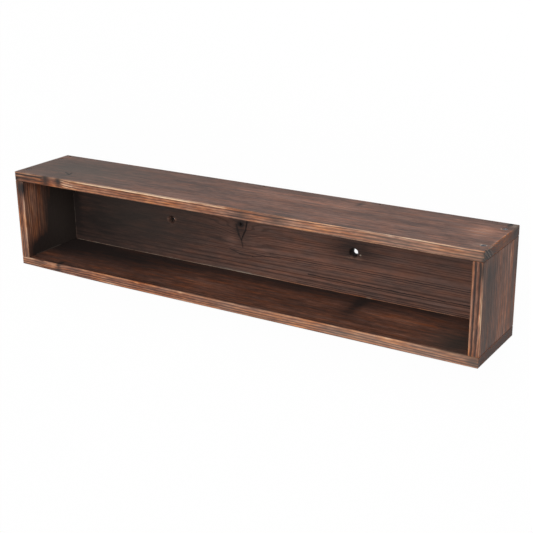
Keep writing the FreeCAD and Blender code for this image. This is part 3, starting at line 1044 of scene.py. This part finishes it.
# %% Right end
scorched_softwood(
    "right_end_board", along=Y, across=Z, pith=(-60, 110), ring=3.6, uneven=1.2,
    bare=(0.28, 0.41, 0.1), figure=0.8, mottle=1.15, tint=0.92, soot=0.05,
    pale=[
        # Rim and its outer arris.
        ((386.2, 0, 126), (1.5, 90, 5), 0.06), ((393, 0, 126), (1.5, 90, 5), 0.09),
        ((399.6, -5, 125.4), (1.8, 44, 1.8), 0.5),
        # Outer face, and the shade along its two joints.
        ((400, 48, 27), (3, 16, 3), 0.25), ((400, -45, 46), (3, 20, 12), 0.08),
        ((400, 64.6, 124), (400, 64.6, 2), 1.6, -0.16), ((400, -64.6, 124), (400, -64.6, 2), 1.6, -0.16),
    ],
    char_and_shade=[
        # Bands of the rim.
        ((389.9, 64, 126), (389.4, -64, 126), 1.9, 0.95), ((396, 64, 126), (395.2, -64, 126), 1.1, 0.9),
        ((399, 54, 126), (4, 14, 5), 0.7),
        # Outer face.
        ((400, 42, 98), (4, 24, 22), 0.4), ((400, 0, 112), (4, 70, 10), 0.35),
        ((400, 40, 5), (4, 40, 8), 0.6), ((400, 0, 60), (4, 300, 300), 0.07),
        ((400, 15, 92), (4, 45, 20), 0.2), ((400, 50, 103), (400, -62, 107), 5, 0.2),
        ((400, 62, 84), (400, -20, 82), 3, 0.15),
    ],
    dust_and_sheen=[((400, 0, 60), (4, 300, 300), 0.03)])

# %% [markdown]
# The base is the back of the box as it lies. A black knot near the middle has split into a forked crack,
# and the grain runs round it. The drain holes have pale broken rims and painted shade inside, and glue
# shows along the front joint. Painted shade lies along the joint with the left end, and the base is
# darker at the left.

# %% Base
scorched_softwood(
    "base_board", along=X, across=Y, pith=(170, -90), ring=4.4, uneven=2.6,
    bare=(0.325, 0.45, 0.1), figure=0.75, mottle=0.35, tint=0.75, soot=0.14,
    knots=[((-41, 6, 10), (34, 18, 40), -11)],
    calm=[((-250, 0, 10), (150, 90, 5), 0.5)],
    pale=[
        # Broken rims of the drain holes.
        ((157, 2, 10), (8.5, 8.5, 1.6), 0.2), ((152, -6, 10), (6, 2, 4), 0.3),
        ((166, -6, 10), (8, 3, 4), 0.2), ((-175, 2, 9.2), (5.2, 5.2, 1.6), 0.6),
        ((-182, 2, 10), (2.2, 3, 3), 0.4), ((-167.5, 3.5, 10), (2, 2, 3), 0.5),
        # Lighter wood by the knot and to its right, and darker at the left.
        ((-60, -14, 10), (10, 8, 4), 0.14), ((0, -20, 10), (14, 6, 4), 0.1),
        ((90, -10, 10), (100, 24, 4), 0.06), ((-260, 0, 10), (150, 80, 5), -0.17),
    ],
    char_and_shade=[
        # Knot and its crack.
        ((-41, 15, 10), (4.5, 3, 9), 1.3), ((-40, 10, 10), (14, 16, 9), 0.5),
        ((-29, 21, 10), (-32, 6, 10), 1.0, 0.8), ((-32, 6, 10), (-40, -10, 10), 1.0, 0.8),
        ((-49, 13, 10), (-45, -2, 10), 2.0, 0.4), ((-45, -2, 10), (-40, -10, 10), 1.4, 0.5),
        ((-40, -10, 10), (-38, -22, 10), 1.1, 0.6),
        # Grain lines that run round the knot and on to the right.
        ((-62, -28, 10), (-44, -34, 10), 0.8, 0.5), ((-44, -34, 10), (-20, -34, 10), 0.9, 0.6),
        ((-20, -34, 10), (13, -29, 10), 0.9, 0.7), ((13, -29, 10), (60, -26, 10), 0.8, 0.7),
        ((60, -26, 10), (360, -25, 10), 0.7, 0.7), ((-35, -29, 10), (13, -24.5, 10), 0.6, 0.45),
        ((13, -24.5, 10), (90, -21, 10), 0.6, 0.45), ((-42, -40, 10), (10, -36, 10), 0.6, 0.4),
        ((10, -36, 10), (90, -32, 10), 0.6, 0.4), ((80, -45.6, 10), (380, -45.6, 10), 0.8, 1.1),
        ((60, -56.4, 10), (380, -56.4, 10), 0.6, 0.45), ((60, -59.8, 10), (380, -59.8, 10), 0.6, 0.55),
        ((60, -62.6, 10), (380, -62.6, 10), 0.6, 0.45),
        # Scorched patches at the right.
        ((250, -61, 10), (170, 7, 4), 0.17), ((240, -36, 10), (160, 8, 4), 0.14),
        ((145, 8, 10), (34, 20, 4), 0.6), ((182, 4, 10), (30, 16, 4), 0.35),
        # Darker at the left.
        ((-250, 0, 10), (150, 70, 5), 0.6), ((-345, -35, 10), (75, 45, 5), 0.45),
        # Painted shade along the joint with the left end.
        ((-379, 10, 10), (11, 80, 5), 0.5),
        # Painted shade inside the drain holes.
        ((-175, 2, 1), (7, 7, 5), 1.2), ((157, 2, 3), (7, 7, 5), 1.5),
    ],
    dust_and_sheen=[
        # Glue along the joints.
        ((-380, -64.6, 10), (-90, -64.6, 10), 0.8, 0.6), ((-38, -64.4, 10), (55, 1.6, 3), 0.7),
        ((183, -64.4, 10), (4, 1.3, 3), 0.5), ((-384.4, 60, 10), (-384.4, -60, 10), 0.8, 0.2),
        # Grey film at the left, and a splinter by the right hole.
        ((-240, 10, 10), (120, 50, 5), 0.045), ((168.3, 0, 10), (0.9, 0.7, 3), 3),
    ])

# %% [markdown]
# ## Blackened steel
# Wood screws are hardened and blackened in oil, and driving them scrapes the black off the high spots, so
# the heads are dark grey with a dull shine and a few brighter scuffs. The nails are bare drawn steel that
# has gone dull and brown in the damp. Both come from one function: a fine noise mixes the dark and the
# bright steel, and a coarser one sets out the spots of rust, which are less metallic.

# %% Steel of the screws and the nails
def driven_steel(name, dark, bright, rust, grit):
    """Steel with scuffs and spots of rust, whose pattern has a size in mm."""
    steel = bpy.data.materials.new(name)
    add = empty_nodes(steel)
    place = add("TexCoord", out="Object")
    scuff = add("TexNoise", {"Vector": place, "Scale": 1 / (grit * MM), "Detail": 3.0})
    spots = add("TexNoise", {"Vector": place, "Scale": 0.5 / (grit * MM), "Detail": 2.0})
    shade = add("ValToRGB", scuff, stops=[(0.3, dark), (0.75, bright)])
    eaten = add("MapRange", spots, 0.55, 0.65)
    colour = add("Mix", {0: eaten, 6: shade, 7: linear(rust)}, out=2, data_type="RGBA")
    metal = add("MapRange", eaten, 0.0, 1.0, 1.0, 0.2)
    rough = add("MapRange", scuff, 0.3, 0.7, 0.55, 0.35)
    relief = add("Bump", {"Strength": 0.3, "Distance": 0.1 * MM, "Height": scuff})
    shader = add("BsdfPrincipled", {
        "Base Color": colour, "Metallic": metal, "Roughness": rough, "Normal": relief})
    add("OutputMaterial", shader)
    return steel


screw_steel = driven_steel("oil-blackened steel, scuffed", dark="#303136", bright="#85878d",
                           rust="#5a4030", grit=1.2)
nail_steel = driven_steel("drawn steel, dull", dark="#2a2725", bright="#5a5550", rust="#4a3326", grit=1.0)
for node, row in fasteners.items():
    row.data.materials.clear()
    row.data.materials.append(nail_steel if node.endswith("nails") else screw_steel)
print("steel on", len(fasteners), "rows")

# %% Finish
for node, board in boards.items():
    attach(board, "root")
    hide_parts(node)
